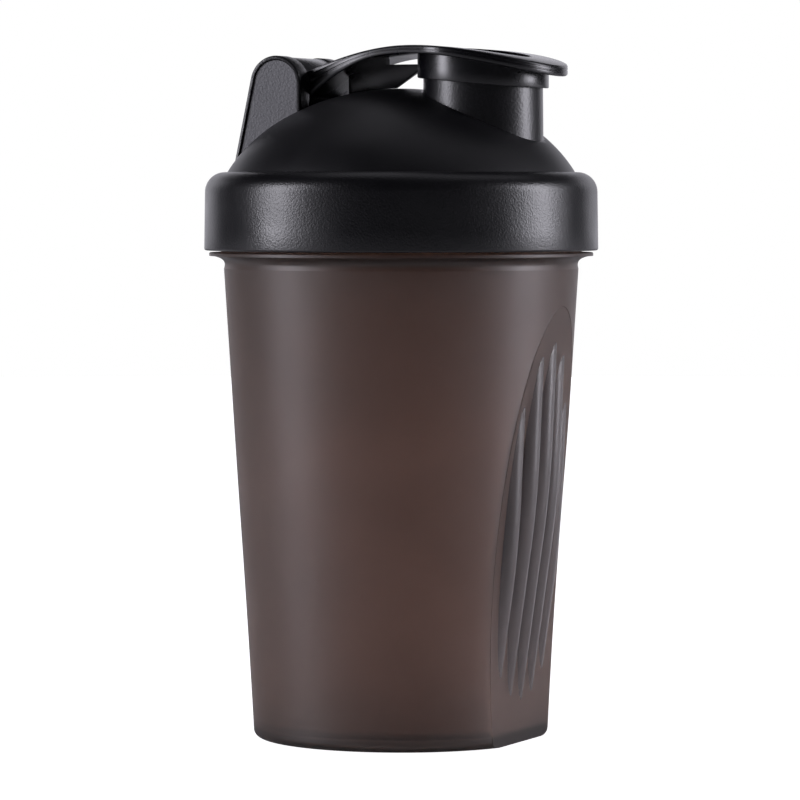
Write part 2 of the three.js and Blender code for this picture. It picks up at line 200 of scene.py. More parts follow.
SETTINGS = {"shaker_cup": ShakerCup, "shaker_grip": ShakerGrip, "shaker_lid": ShakerLid,
            "shaker_cap": ShakerCap, "shaker_finish": ShakerFinish}


# ---- mesh helpers ------------------------------------------------------------------------------

def arc(cx, cy, radius, start, end, steps):
    """Points on a circle's arc, angles in degrees."""
    turns = (math.radians(start + (end - start) * i / steps) for i in range(steps + 1))
    return [(cx + radius * math.cos(t), cy + radius * math.sin(t)) for t in turns]


def lerp(a, b, t):
    """The number a share t of the way from a to b."""
    return a + (b - a) * t


def soft_min(a, b, width):
    """The smaller of two numbers, with a rounded change from one to the other."""
    h = min(1, max(0, 0.5 + 0.5 * (b - a) / width))
    return lerp(b, a, h) - width * h * (1 - h)


def only(geometry, kind):
    """The vertices or the faces among what an operator returns."""
    return [item for item in geometry if isinstance(item, kind)]


def spun(profile, steps, x=0.0, closed=False):
    """A bmesh turned from a profile of (radius, height) about an upright axis at x."""
    bm = bmesh.new()
    line = [bm.verts.new((x + r, 0, z)) for r, z in profile]
    pairs = list(zip(line, line[1:]))
    if closed:
        pairs.append((line[-1], line[0]))
    edges = [bm.edges.new(pair) for pair in pairs]
    bmesh.ops.spin(bm, geom=line + edges, cent=(x, 0, 0), axis=(0, 0, 1), angle=2 * math.pi,
                   steps=steps, use_merge=True)
    bmesh.ops.remove_doubles(bm, verts=bm.verts, dist=0.002 * MM)
    bmesh.ops.dissolve_degenerate(bm, dist=0.001 * MM, edges=bm.edges)
    bmesh.ops.recalc_face_normals(bm, faces=bm.faces)
    return bm


def rod(radius, start, end, steps, edge=0.0):
    """A bmesh rod along Y on the hinge axis, from one y to the other, with rounded ends."""
    corner = arc(radius - edge, end - edge, edge, 0, 90, 4) if edge else [(radius, end)]
    foot = arc(radius - edge, start + edge, edge, -90, 0, 4) if edge else [(radius, start)]
    bm = spun([(0, start), *foot, *corner, (0, end)], steps)
    bmesh.ops.rotate(bm, verts=bm.verts, cent=(0, 0, 0), matrix=Matrix.Rotation(-math.pi / 2, 3, "X"))
    bmesh.ops.translate(bm, verts=bm.verts, vec=(HINGE.x, 0, HINGE.z))
    return bm


def helix_bead(radius, low, lead, turns, bead):
    """A round thread bead that climbs about the bottle's axis."""
    bm = bmesh.new()
    section = bmesh.ops.create_circle(bm, segments=12, radius=bead,
                                      matrix=Matrix.Rotation(math.pi / 2, 4, "X"))["verts"]
    bmesh.ops.translate(bm, verts=section, vec=(radius, 0, low))
    edges = list({e for v in section for e in v.link_edges})
    steps = round(turns * 96)
    bmesh.ops.spin(bm, geom=section + edges, cent=(0, 0, 0), axis=(0, 0, 1), steps=steps,
                   angle=turns * 2 * math.pi, dvec=(0, 0, lead * turns / steps))
    bmesh.ops.holes_fill(bm, edges=[e for e in bm.edges if e.is_boundary], sides=0)
    bmesh.ops.recalc_face_normals(bm, faces=bm.faces)
    return bm


def block(outline, start, end, edge=0.0, segments=3):
    """A bmesh slab: an outline of (x, z) extruded along Y, with its rims bevelled."""
    bm = bmesh.new()
    face = bm.faces.new([bm.verts.new((x, start, z)) for x, z in outline])
    moved = bmesh.ops.extrude_face_region(bm, geom=[face])["geom"]
    bmesh.ops.translate(bm, vec=(0, end - start, 0), verts=only(moved, bmesh.types.BMVert))
    bmesh.ops.recalc_face_normals(bm, faces=bm.faces)
    if edge:
        rims = [e for e in bm.edges if abs(e.verts[0].co.y - e.verts[1].co.y) < 1e-7]
        bmesh.ops.bevel(bm, geom=rims, offset=edge, segments=segments, profile=0.5,
                        affect="EDGES", material=-1)
    return bm


def piece(name, bm):
    """A new object from a bmesh, which is freed."""
    mesh = bpy.data.meshes.new(name)
    bm.to_mesh(mesh)
    bm.free()
    made = bpy.data.objects.new(name, mesh)
    bpy.context.scene.collection.objects.link(made)
    return made


def combined(target, tools, operation):
    """Joins tools to the target, or cuts them out of it, and removes the tools."""
    for tool in tools:
        cut = target.modifiers.new("combine", "BOOLEAN")
        cut.operation = operation
        cut.solver = "MANIFOLD"
        cut.object = tool
    graph = bpy.context.evaluated_depsgraph_get()
    mesh = bpy.data.meshes.new_from_object(target.evaluated_get(graph))
    target.modifiers.clear()
    old, target.data = target.data, mesh
    bpy.data.meshes.remove(old)
    for tool in tools:
        data = tool.data
        bpy.data.objects.remove(tool)
        bpy.data.meshes.remove(data)
    return target


def finished(made, body, materials, replaced, sharp=32):
    """Smooth shading with crisp edges, materials, and the piece's place in the assembly."""
    mesh = made.data
    mesh.name = made.name
    mesh.materials.clear()
    for material in materials:
        mesh.materials.append(material)
    mesh.shade_smooth()
    mesh.set_sharp_from_angle(angle=math.radians(sharp))
    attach(made, body)
    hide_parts(replaced)


# ---- materials ---------------------------------------------------------------------------------

def node_group(name, inputs, outputs):
    """An empty shader node group with named sockets; returns the tree, its input and its output."""
    tree = bpy.data.node_groups.new(name, "ShaderNodeTree")
    for label, kind, default in inputs:
        socket = tree.interface.new_socket(label, in_out="INPUT", socket_type=kind)
        socket.default_value = default
    for label, kind in outputs:
        tree.interface.new_socket(label, in_out="OUTPUT", socket_type=kind)
    return tree, tree.nodes.new("NodeGroupInput"), tree.nodes.new("NodeGroupOutput")


def spread(tree, noise, half, variation):
    """A noise's middle, half to each side, spread over a value less and plus a variation.

    Returns the result and the two sockets that take the value.
    """
    level = tree.nodes.new("ShaderNodeMapRange")
    level.inputs["From Min"].default_value = 0.5 - half
    level.inputs["From Max"].default_value = 0.5 + half
    tree.links.new(noise.outputs["Fac"], level.inputs["Value"])
    middles = []
    for operation, end in (("SUBTRACT", "To Min"), ("ADD", "To Max")):
        limit = tree.nodes.new("ShaderNodeMath")
        limit.operation = operation
        tree.links.new(variation, limit.inputs[1])
        tree.links.new(limit.outputs["Value"], level.inputs[end])
        middles.append(limit.inputs[0])
    return level.outputs["Result"], middles


def grain_group():
    """Moulded grain: a fine pebbled height, a broad gloss change and a normal."""
    name = "Moulded grain"
    if name in bpy.data.node_groups:
        return bpy.data.node_groups[name]
    floats = "NodeSocketFloat"
    tree, source, sink = node_group(
        name,
        [("Scale", floats, 2200.0), ("Depth", floats, 0.03 * MM), ("Roughness", floats, 0.4),
         ("Variation", floats, 0.06)],
        [("Normal", "NodeSocketVector"), ("Roughness", floats)])
    new, link = tree.nodes.new, tree.links.new
    place = new("ShaderNodeTexCoord")
    pebbles = new("ShaderNodeTexVoronoi")
    pebbles.feature = "SMOOTH_F1"
    pebbles.inputs["Smoothness"].default_value = 0.6
    fuzz = new("ShaderNodeTexNoise")
    fuzz.inputs["Detail"].default_value = 3
    broad = new("ShaderNodeTexNoise")
    broad.inputs["Scale"].default_value = 38
    broad.inputs["Detail"].default_value = 3
    both = new("ShaderNodeMix")
    both.inputs["Factor"].default_value = 0.5
    bump = new("ShaderNodeBump")
    bump.inputs["Strength"].default_value = 1
    for texture in (pebbles, fuzz, broad):
        link(place.outputs["Object"], texture.inputs["Vector"])
    link(source.outputs["Scale"], pebbles.inputs["Scale"])
    link(source.outputs["Scale"], fuzz.inputs["Scale"])
    link(pebbles.outputs["Distance"], both.inputs["A"])
    link(fuzz.outputs["Fac"], both.inputs["B"])
    link(both.outputs["Result"], bump.inputs["Height"])
    link(source.outputs["Depth"], bump.inputs["Distance"])
    gloss, middles = spread(tree, broad, 0.15, source.outputs["Variation"])
    for middle in middles:
        link(source.outputs["Roughness"], middle)
    link(bump.outputs["Normal"], sink.inputs["Normal"])
    link(gloss, sink.inputs["Roughness"])
    return tree


def tint_group():
    """A base colour with faint cloudy variation, as in moulded plastic."""
    name = "Cloudy tint"
    if name in bpy.data.node_groups:
        return bpy.data.node_groups[name]
    tree, source, sink = node_group(
        name,
        [("Color", "NodeSocketColor", (0.1, 0.1, 0.1, 1)), ("Scale", "NodeSocketFloat", 30.0),
         ("Variation", "NodeSocketFloat", 0.12)],
        [("Color", "NodeSocketColor")])
    new, link = tree.nodes.new, tree.links.new
    place = new("ShaderNodeTexCoord")
    cloud = new("ShaderNodeTexNoise")
    cloud.inputs["Detail"].default_value = 4
    level, middles = spread(tree, cloud, 0.2, source.outputs["Variation"])
    for middle in middles:
        middle.default_value = 1
    scale = new("ShaderNodeVectorMath")
    scale.operation = "SCALE"
    link(place.outputs["Object"], cloud.inputs["Vector"])
    link(source.outputs["Scale"], cloud.inputs["Scale"])
    link(source.outputs["Color"], scale.inputs[0])
    link(level, scale.inputs["Scale"])
    link(scale.outputs["Vector"], sink.inputs["Color"])
    return tree


def plastic(name, color, roughness, grain_scale, grain_depth, variation=0.05, **constants):
    """A moulded plastic: cloudy tint, grain and gloss change, and constant sockets by name."""
    if name in bpy.data.materials:
        return bpy.data.materials[name]
    material = bpy.data.materials.new(name)
    material.use_nodes = True
    tree = material.node_tree
    new, link = tree.nodes.new, tree.links.new
    shader = tree.nodes["Principled BSDF"]
    for socket, value in constants.items():
        shader.inputs[socket.replace("_", " ")].default_value = value
    tint = new("ShaderNodeGroup")
    tint.node_tree = tint_group()
    tint.inputs["Color"].default_value = (*color, 1)
    grain = new("ShaderNodeGroup")
    grain.node_tree = grain_group()
    for socket, value in (("Scale", grain_scale), ("Depth", grain_depth), ("Roughness", roughness),
                          ("Variation", variation)):
        grain.inputs[socket].default_value = value
    link(tint.outputs["Color"], shader.inputs["Base Color"])
    link(grain.outputs["Roughness"], shader.inputs["Roughness"])
    link(grain.outputs["Normal"], shader.inputs["Normal"])
    return material


# The cup's tint factor at each height in millimetres: dark in the thick floor, and darker again towards the
# lid as painted shade from the lid above.
FLOOR_TINT_AND_PAINTED_SHADE = ((0.0, 0.3), (2.4, 0.34), (3.4, 0.95), (30, 1.0), (72, 0.92), (108, 0.69), (131, 0.6))


def smoked(name, tint, clearness, roughness, grain_depth, **constants):
    """The cup's frosted plastic: darker in the thick floor, with painted shade under the lid."""
    material = plastic(name, tint, roughness, 900, grain_depth, 0.03,
                       Transmission_Weight=clearness, IOR=1.49, **constants)
    tree = material.node_tree
    if "Density" in tree.nodes:
        return material
    new, link = tree.nodes.new, tree.links.new
    shader = tree.nodes["Principled BSDF"]
    even = shader.inputs["Base Color"].links[0].from_socket
    place = new("ShaderNodeTexCoord")
    height = new("ShaderNodeSeparateXYZ")
    # The ramp darkens the tint low down in the thick floor, and up towards the lid as painted shade.
    floor_density_and_shade = new("ShaderNodeValToRGB")
    floor_density_and_shade.name = "Density"
    ramp = floor_density_and_shade.color_ramp
    while len(ramp.elements) < len(FLOOR_TINT_AND_PAINTED_SHADE):
        ramp.elements.new(1)
    for element, (level, shade) in zip(ramp.elements, FLOOR_TINT_AND_PAINTED_SHADE):
        element.position = level * MM / CUP_HIGH.z
        element.color = (shade, shade, shade, 1)
    share_of_height = new("ShaderNodeMath")
    share_of_height.operation = "DIVIDE"
    share_of_height.inputs[1].default_value = CUP_HIGH.z
    shaded = new("ShaderNodeVectorMath")
    shaded.operation = "MULTIPLY"
    link(place.outputs["Object"], height.inputs["Vector"])
    link(height.outputs["Z"], share_of_height.inputs[0])
    link(share_of_height.outputs["Value"], floor_density_and_shade.inputs["Fac"])
    link(even, shaded.inputs[0])
    link(floor_density_and_shade.outputs["Color"], shaded.inputs[1])
    link(shaded.outputs["Vector"], shader.inputs["Base Color"])
    return material


def smoked_plastic(finish):
    """The cup's frosted side."""
    return smoked("Smoked frosted plastic", finish.smoke, finish.cup_clearness,
                  finish.cup_roughness, 0.004 * MM)


def reed_plastic(finish):
    """The reeds' smoother skin, in a darker tint that is painted shade."""
    return smoked("Smoked smooth plastic", finish.reed_smoke_and_shade, finish.reed_clearness,
                  finish.reed_roughness, 0.001 * MM, Coat_Weight=1.0, Coat_Roughness=0.06)


def collar_plastic(finish):
    """The collar's finely grained plastic."""
    return plastic("Grained black plastic", finish.black, finish.collar_roughness, 2100,
                   finish.grain_depth, IOR=1.5)


def dome_plastic(finish):
    """The dome's smooth matte plastic."""
    return plastic("Matte black plastic", finish.black, finish.dome_roughness, 2600,
                   0.3 * finish.grain_depth, IOR=1.5)


def spout_plastic(finish):
    """The spout's satin plastic."""
    return plastic("Satin black plastic", finish.black, 0.3, 1500, 0.8 * finish.grain_depth, 0.04, IOR=1.5)


def ear_plastic(finish):
    """The greyer, blasted plastic of the ears' sunk faces."""
    return plastic("Blasted black plastic", finish.bead_grey, 0.55, 1900, 2.4 * finish.grain_depth,
                   0.04, IOR=1.5)


def cap_plastic(finish):
    """The flip cap's semi-gloss plastic."""
    return plastic("Glossy black plastic", finish.black, finish.cap_roughness, 1200,
                   0.12 * finish.grain_depth, 0.04, IOR=1.5)


def silicone(finish):
    """The seal's soft grey rubber."""
    return plastic("Grey silicone", finish.silicone, 0.6, 900, 0.01 * MM, 0.08, IOR=1.41)


# ---- cup ---------------------------------------------------------------------------------------

def facet_distance(grip, z):
    """Distance of a grip's hollow facet from the axis at a height."""
    rise = max(0, z - grip.foot)
    return grip.flat + rise * rise / (2 * grip.curve)


def cup_radius(cup, z):
    """Radius of the cup's round side at a height."""
    return cup.base_radius + cup.taper * z


def cup_outside(cup):
    """The cup's outer shape as a solid, without its grips."""
    top = cup_radius(cup, cup.body_height)
    neck = top + cup.neck_step
    corner = cup.corner
    foot = cup.base_radius - corner - cup.foot_width
    profile = [(0, cup.foot_rise), (foot - 1.5 * cup.foot_rise, cup.foot_rise), (foot, 0)]
    profile += arc(cup_radius(cup, corner) - corner, corner, corner, -90, 0, 14)
    profile.append((top, cup.body_height))
    rim = 0.8 * MM
    rise = cup.shoulder_top - rim - cup.body_height
    groove, groove_waves, flare = 0.35 * MM, 2.6, 1.3
    steps = 20
    for i in range(1, steps + 1):
        t = math.pi / 2 * i / steps
        dip = groove * math.sin(groove_waves * t) if t < math.pi / groove_waves else 0
        profile.append((lerp(top, cup.shoulder_radius, (1 - math.cos(t)) ** flare) - dip,
                        cup.body_height + rise * math.sin(t)))
    edge, lip = 0.25 * MM, 0.5 * MM
    profile += arc(cup.shoulder_radius - edge, cup.shoulder_top - edge, edge, 0, 90, 3)
    profile += [(neck + lip, cup.shoulder_top), (neck, cup.shoulder_top + lip)]
    profile += [*arc(neck - lip, CUP_HIGH.z - lip, lip, 0, 90, 3), (0, CUP_HIGH.z)]
    return spun(profile, 256)


def cup_inside(cup, grip):
    """The cup's hollow as a solid, flattened behind the grips."""
    bore = cup_radius(cup, cup.body_height) + cup.neck_step - cup.neck_wall
    ledge = bore + 1 * MM
    seat = CUP_HIGH.z - 5 * MM
    corner, bevel = cup.corner, 0.3 * MM
    low = cup.floor + corner
    profile = [(0, CUP_HIGH.z + MM), (ledge + bevel + MM, CUP_HIGH.z + MM), (ledge, CUP_HIGH.z - bevel),
               (ledge, seat), (bore, seat), (bore, cup.shoulder_top),
               (cup_radius(cup, cup.body_height) - cup.wall, cup.body_height)]
    profile += arc(cup_radius(cup, low) - cup.wall - corner, low, corner, 0, -90, 5)
    hollow = piece("hollow", spun([*profile, (0, cup.floor)], 192))
    return combined(hollow, [piece("facet", facet_block(cup, grip, side, cup.wall)) for side in (-1, 1)],
                    "DIFFERENCE")


def facet_block(cup, grip, side, inwards=0.0):
    """What a grip's hollow facet takes away from the cup, as a solid."""
    low, high = -2 * MM, cup.body_height - 2 * MM
    outside, half_width, steps = 60 * MM, 30 * MM, 48
    outline = [(side * (facet_distance(grip, z) - inwards), z)
               for z in (lerp(low, high, i / steps) for i in range(steps + 1))]
    outline += [(side * outside, high), (side * outside, low)]
    return block(outline, -half_width, half_width)


def reed_line(grip, middle, z):
    """Distance of a reed's crest from the axis plane at a height."""
    ramp = grip.flat + grip.ramp_slope * (z - grip.ramp_height) - middle * middle / (2 * grip.ramp_crown)
    crest = math.sqrt((grip.crest_radius + grip.crest_taper * z) ** 2 - middle * middle)
    return soft_min(ramp, crest, 1.2 * MM)


def reed(cup, grip, side, index):
    """One raised reed: a half-round section swept up along its crest."""
    middle = (index - (grip.reeds - 1) / 2) * 2 * grip.reed_radius
    low, high, steps = grip.margin, cup.body_height - grip.margin, 60
    depth = 6.5 * MM
    section = [(-grip.reed_radius + c, a) for c, a in arc(0, 0, grip.reed_radius, -90, 90, 24)]
    section += [(-depth, grip.reed_radius), (-depth, -grip.reed_radius)]
    bm = bmesh.new()
    start = reed_line(grip, middle, low)
    ring = [bm.verts.new((side * (start + x), middle + a, low)) for x, a in section]
    end = [bm.faces.new(ring)]
    for i in range(steps):
        z, top = (lerp(low, high, k / steps) for k in (i, i + 1))
        grown = bmesh.ops.extrude_face_region(bm, geom=end)["geom"]
        shift = (side * (reed_line(grip, middle, top) - reed_line(grip, middle, z)), 0, top - z)
        bmesh.ops.translate(bm, vec=shift, verts=only(grown, bmesh.types.BMVert))
        if i:
            bmesh.ops.delete(bm, geom=end, context="FACES_ONLY")
        end = only(grown, bmesh.types.BMFace)
    bmesh.ops.recalc_face_normals(bm, faces=bm.faces)
    return bm


def grip_outline(cup, grip, side, radius):
    """A slim bead along the line where a grip's facet meets the cup's round side, as a tool."""
    high = grip.foot
    while facet_distance(grip, high) < cup_radius(cup, high):
        high += 0.05 * MM
    points = []
    steps = 90
    for i in range(-steps, steps + 1):
        z = lerp(-MM, high, math.sin(math.pi / 2 * (1 - abs(i) / steps)))
        x = min(facet_distance(grip, z), cup_radius(cup, z))
        points.append((side * x, math.copysign(math.sqrt(cup_radius(cup, z) ** 2 - x * x), i), z))
    curve = bpy.data.curves.new("outline", "CURVE")
    curve.dimensions = "3D"
    curve.bevel_depth = radius
    curve.bevel_resolution = 1
    curve.use_fill_caps = True
    line = curve.splines.new("POLY")
    line.points.add(len(points) - 1)
    for place, point in zip(line.points, points):
        place.co = (*point, 1)
    holder = bpy.data.objects.new("outline", curve)
    bpy.context.scene.collection.objects.link(holder)
    graph = bpy.context.evaluated_depsgraph_get()
    bm = bmesh.new()
    bm.from_mesh(bpy.data.meshes.new_from_object(holder.evaluated_get(graph)))
    bmesh.ops.remove_doubles(bm, verts=bm.verts, dist=0.01 * MM)
    bmesh.ops.recalc_face_normals(bm, faces=bm.faces)
    bpy.data.objects.remove(holder)
    bpy.data.curves.remove(curve)
    return bm


def paint_reeds(mesh, cup, grip):
    """Gives the reeds' crests and flanks the second material: smoother, with a darker tint that is painted
    shade.
    """
    reach = grip.reeds * grip.reed_radius
    for face in mesh.polygons:
        x, y, z = face.center
        within = abs(y) < reach and grip.margin < z < cup.body_height - grip.margin
        proud = abs(x) > facet_distance(grip, z) + 0.03 * MM
        if within and proud and math.hypot(x, y) < cup_radius(cup, z) - 0.08 * MM:
            face.material_index = 1


class SHAKER_OT_cup(bpy.types.Operator):
    """Add the translucent cup with its grips, shoulder and threaded neck"""

    bl_idname = "shaker.cup"
    bl_label = "Cup"

    def execute(self, context):
        cup, grip = context.scene.shaker_cup, context.scene.shaker_grip
        made = piece("cup_shell", cup_outside(cup))
        sides = (-1, 1)
        combined(made, [piece("facet", facet_block(cup, grip, side)) for side in sides], "DIFFERENCE")
        reeds = [piece("reed", reed(cup, grip, side, i)) for side in sides for i in range(grip.reeds)]
        combined(made, reeds, "UNION")
        lines = [piece("outline", grip_outline(cup, grip, side, grip.outline)) for side in sides]
        combined(made, lines, "DIFFERENCE")
        combined(made, [cup_inside(cup, grip)], "DIFFERENCE")
        bead = helix_bead(cup_radius(cup, cup.body_height) + cup.neck_step,
                          cup.shoulder_top + cup.thread_start, cup.thread_lead, cup.thread_turns,
                          cup.thread_bead)
        combined(made, [piece("thread", bead)], "UNION")
        finish = context.scene.shaker_finish
        finished(made, "cup", [smoked_plastic(finish), reed_plastic(finish)],
                 "cup", sharp=8)
        paint_reeds(made.data, cup, grip)
        return {"FINISHED"}


# ---- lid ---------------------------------------------------------------------------------------

def dome_points(radius, rise, centre, low, steps):
    """Points on the dome's ellipse, from a height up to the axis."""
    start = math.degrees(math.asin((low - centre) / rise))
    turns = [math.radians(lerp(start, 90, i / steps)) for i in range(steps + 1)]
    points = [(radius * math.cos(t), centre + rise * math.sin(t)) for t in turns]
    points[-1] = (0, centre + rise)
    return points


def lid_shell(lid):
    """The collar and dome as one solid turned shape, with a fine groove where they meet."""
    edge, draft, groove = 0.5 * MM, 0.2 * MM, 0.35 * MM
    top = lid.collar_radius - draft
    fillet = lid.collar_fillet
    foot = dome_points(lid.dome_radius, lid.dome_rise, lid.dome_centre, lid.collar_top - groove, 46)
    lip = foot[0][0] + groove
    profile = [(0, LID_LOW.z), (0.9 * lid.collar_radius, LID_LOW.z)]
    profile += arc(lid.collar_radius - edge, LID_LOW.z + edge, edge, -90, 0, 4)
    profile += [(lerp(lid.collar_radius, top, t), lerp(LID_LOW.z, lid.collar_top - fillet, t))
                for t in (0.35, 0.7)]
    profile += arc(top - fillet, lid.collar_top - fillet, fillet, 0, 90, 12)
    profile += [(lip, lid.collar_top), (lip - 0.15 * MM, lid.collar_top - 0.1 * MM)]
    return spun(profile + foot, 192)


def lid_cavity(lid, land):
    """The hollow inside the lid: the collar's bore and the dome's inside."""
    inner = lid.collar_radius - lid.collar_wall
    chamfer = 0.4 * MM
    profile = [(0, LID_LOW.z - MM), (inner + chamfer, LID_LOW.z - MM), (inner, LID_LOW.z + 0.5 * MM),
               (inner, land)]
    profile += dome_points(lid.dome_radius - lid.dome_wall, lid.dome_rise - lid.dome_wall,
                           lid.dome_centre, land, 32)
    return spun(profile, 144)


def tilt_rows(bm, lid, level):
    """Slopes what lies above a level down towards +X, as the spout's mouth does."""
    for vert in bm.verts:
        if vert.co.z > level:
            vert.co.z -= math.tan(lid.spout_tilt) * (vert.co.x - lid.spout_offset)


SPOUT_LIP = 0.45 * MM
SPOUT_EVEN = 4 * MM    # from the mouth down to the last ring of points that stays level


def spout_body(lid):
    """The spout's outside as a solid, with a sloping mouth."""
    lip, mouth = SPOUT_LIP, lid.spout_mouth
    foot = lid.spout_radius + 0.2 * MM
    profile = [(0, lid.collar_top), (foot, lid.collar_top)]
    profile += [(lerp(foot, lid.spout_radius, t), lerp(lid.collar_top, mouth - SPOUT_EVEN, t))
                for t in (0.25, 0.5, 0.75, 1)]
    profile += arc(lid.spout_radius - lip, mouth - lip, lip, 0, 90, 4)
    bm = spun([*profile, (0, mouth)], 128, lid.spout_offset)
    tilt_rows(bm, lid, mouth - 0.75 * SPOUT_EVEN)
    return bm


def spout_bore(lid):
    """The spout's hollow, widened at the lip."""
    bore = lid.spout_radius - lid.spout_wall
    lip, mouth, above = SPOUT_LIP, lid.spout_mouth, 6 * MM
    flare = [(bore + lip - x, z) for x, z in arc(0, mouth - lip, lip, 0, 90, 4)]
    profile = [(0, lid.dome_centre), (bore, lid.dome_centre), (bore, mouth - SPOUT_EVEN), *flare]
    bm = spun([*profile, (bore + lip, mouth + above), (0, mouth + above)], 128, lid.spout_offset)
    tilt_rows(bm, lid, mouth - 0.75 * SPOUT_EVEN)
    return bm


EAR_RIM = 0.35 * MM
EAR_SINK = 0.45 * MM


def ear(lid, side):
    """A hinge ear with rounded rims and a sunk outer face."""
    slant = math.degrees(lid.ear_slant)
    radius = lid.ear_radius
    bottom = lid.collar_top - 2 * MM
    top = arc(HINGE.x, HINGE.z, radius, 0, 180 - slant, 36)
    x, z = top[-1]
    outline = [(x - (z - bottom) * math.tan(lid.ear_slant), bottom), (HINGE.x + radius, bottom), *top]
    inner, outer = side * lid.ear_inner, side * (lid.ear_inner + lid.ear_thickness)
    bm = block(outline, inner, outer, 0.45 * MM)
    face = max(bm.faces, key=lambda f: f.calc_area() * (f.calc_center_median().y * side > abs(inner) * 1.2))
    bmesh.ops.inset_region(bm, faces=[face], thickness=EAR_RIM, use_even_offset=True)
    bmesh.ops.inset_region(bm, faces=[face], thickness=EAR_RIM, depth=-EAR_SINK, use_even_offset=True)
    bmesh.ops.recalc_face_normals(bm, faces=bm.faces)
    return bm


def paint_lid(mesh, lid):
    """Gives the dome the second material, the ears' sunk faces the third, and the spout the fourth."""
    sunk = lid.ear_inner + lid.ear_thickness - EAR_SINK
    for face in mesh.polygons:
        x, y, z = face.center
        spout = math.hypot(x - lid.spout_offset, y) < lid.spout_radius + 0.35 * MM
        reach = math.hypot(x, y) / lid.dome_radius
        level = (z - lid.dome_centre) / lid.dome_rise
        domed = abs(math.hypot(reach, level) - 1) < 0.004
        if domed and z > lid.collar_top - 0.5 * MM and not spout:
            face.material_index = 1
        elif abs(abs(y) - sunk) < 0.05 * MM and abs(face.normal.y) > 0.9 and x < 0:
            face.material_index = 2
        elif spout and z > lid.collar_top + 2 * MM:
            face.material_index = 3


class SHAKER_OT_lid(bpy.types.Operator):
    """Add the screw lid: collar, dome, spout and hinge ears"""

    bl_idname = "shaker.lid"
    bl_label = "Lid"

    def execute(self, context):
        lid, cap = context.scene.shaker_lid, context.scene.shaker_cap
        finish = context.scene.shaker_finish
        land = SEAL_HIGH.z + lid.seal_gap
        made = piece("lid_shell", lid_shell(lid))
        combined(made, [piece("spout", spout_body(lid)), piece("ear_near", ear(lid, -1)),
                        piece("ear_far", ear(lid, 1))], "UNION")
        outer_face, blind = lid.ear_inner + lid.ear_thickness, 2 * MM
        hole = rod(cap.pin_radius + 0.15 * MM, -outer_face + blind, outer_face + MM, 48)
        combined(made, [piece("cavity", lid_cavity(lid, land)), piece("bore", spout_bore(lid)),
                        piece("pin_hole", hole)], "DIFFERENCE")
        finished(made, "lid", [collar_plastic(finish), dome_plastic(finish),
                                            ear_plastic(finish), spout_plastic(finish)], "lid")
        paint_lid(made.data, lid)
        return {"FINISHED"}


# ---- flip cap ----------------------------------------------------------------------------------

def arch_height(cap, x):
    """Height of the arch's top surface."""
    radius = cap.hinge_curve if x < cap.apex else cap.spout_curve
    return cap.top - radius + math.sqrt(radius * radius - (x - cap.apex) ** 2)


def arm_thickness(cap, lid, x):
    """Thickness of the arm: deep at the knuckle, thin under the arch, a little more at the disc's rim."""
    if x < 0:
        return min(cap.root, cap.edge + (x / cap.flare) ** 2 * MM)
    if x < cap.apex:
        return cap.edge
    end = lid.spout_offset + cap.disc_radius
    return lerp(cap.edge, cap.edge_disc, (x - cap.apex) / (end - cap.apex))


def arm_plan(cap, lid):
    """The cap's outline from above, as (x, y): a narrow arm that flares into the disc."""
    half = cap.knuckle_width / 2 - 0.15 * MM
    join, reach = cap.join, cap.reach
    disc = arc(lid.spout_offset, 0, cap.disc_radius, 0, math.degrees(join), 40)
    end = Vector(disc[-1])
    curve = [end, end + reach * Vector((-math.sin(join), math.cos(join))),
             Vector((HINGE.x + lid.ear_radius + reach, half)), Vector((HINGE.x + lid.ear_radius, half))]
    flare = []
    steps = 24
    for i in range(1, steps + 1):
        t = i / steps
        flare.append(sum(((math.comb(3, k) * (1 - t) ** (3 - k) * t ** k) * p
                          for k, p in enumerate(curve)), Vector((0, 0))))
    upper = disc + [(p.x, p.y) for p in flare] + [(HINGE.x, half)]
    return upper + [(x, -y) for x, y in reversed(upper[1:])]


def shrunk(outline, inset):
    """The outline moved inwards."""
    count = len(outline)
    moved = []
    for i, point in enumerate(outline):
        before, after = Vector(outline[i - 1]), Vector(outline[(i + 1) % count])
        along = (after - before).normalized()
        moved.append((point[0] - along.y * inset, point[1] + along.x * inset))
    return moved


def arm_plate(cap, lid):
    """The arched plate with a grooved edge, bent from a flat stack of outlines."""
    plan = arm_plan(cap, lid)
    # Share of the thickness from the underside up, and inset in millimetres: two grooves and soft rims.
    section = [(0, 0.35), (0.08, 0.1), (0.2, 0), (0.42, 0), (0.47, 0.16), (0.53, 0.16), (0.58, 0),
               (0.72, 0), (0.75, 0.1), (0.79, 0.1), (0.82, 0), (0.9, 0.06), (0.97, 0.2), (1, 0.42)]
    bm = bmesh.new()
    loops = []
    for level, inset in section:
        ring = [bm.verts.new((x, y, level)) for x, y in shrunk(plan, inset * MM)]
        loops.append([bm.edges.new((a, b)) for a, b in zip(ring, ring[1:] + ring[:1])])
        if level in (0, 1):
            bm.faces.new(ring)
    for low, high in zip(loops, loops[1:]):
        bmesh.ops.bridge_loops(bm, edges=low + high)
    bmesh.ops.recalc_face_normals(bm, faces=bm.faces)
    stations = 60
    start, end = HINGE.x, lid.spout_offset + cap.disc_radius
    for i in range(1, stations):
        bmesh.ops.bisect_plane(bm, geom=bm.verts[:] + bm.edges[:] + bm.faces[:], dist=1e-7,
                               plane_co=(lerp(start, end, i / stations), 0, 0), plane_no=(1, 0, 0))
    for vert in bm.verts:
        x, level = vert.co.x, vert.co.z
        vert.co.z = arch_height(cap, x) - (1 - level) * arm_thickness(cap, lid, x)
    return bm


def under_arch(bm, cap, lid, low, high):
    """Stretches a turned shape of height 0 to 1 between the skirt's slope and the arch."""
    for vert in bm.verts:
        x, level = vert.co.x, vert.co.z
        foot = low - math.tan(lid.spout_tilt) * (x - lid.spout_offset)
        head = arch_height(cap, x) - high * arm_thickness(cap, lid, x)
        vert.co.z = lerp(foot, head, level)
    return bm


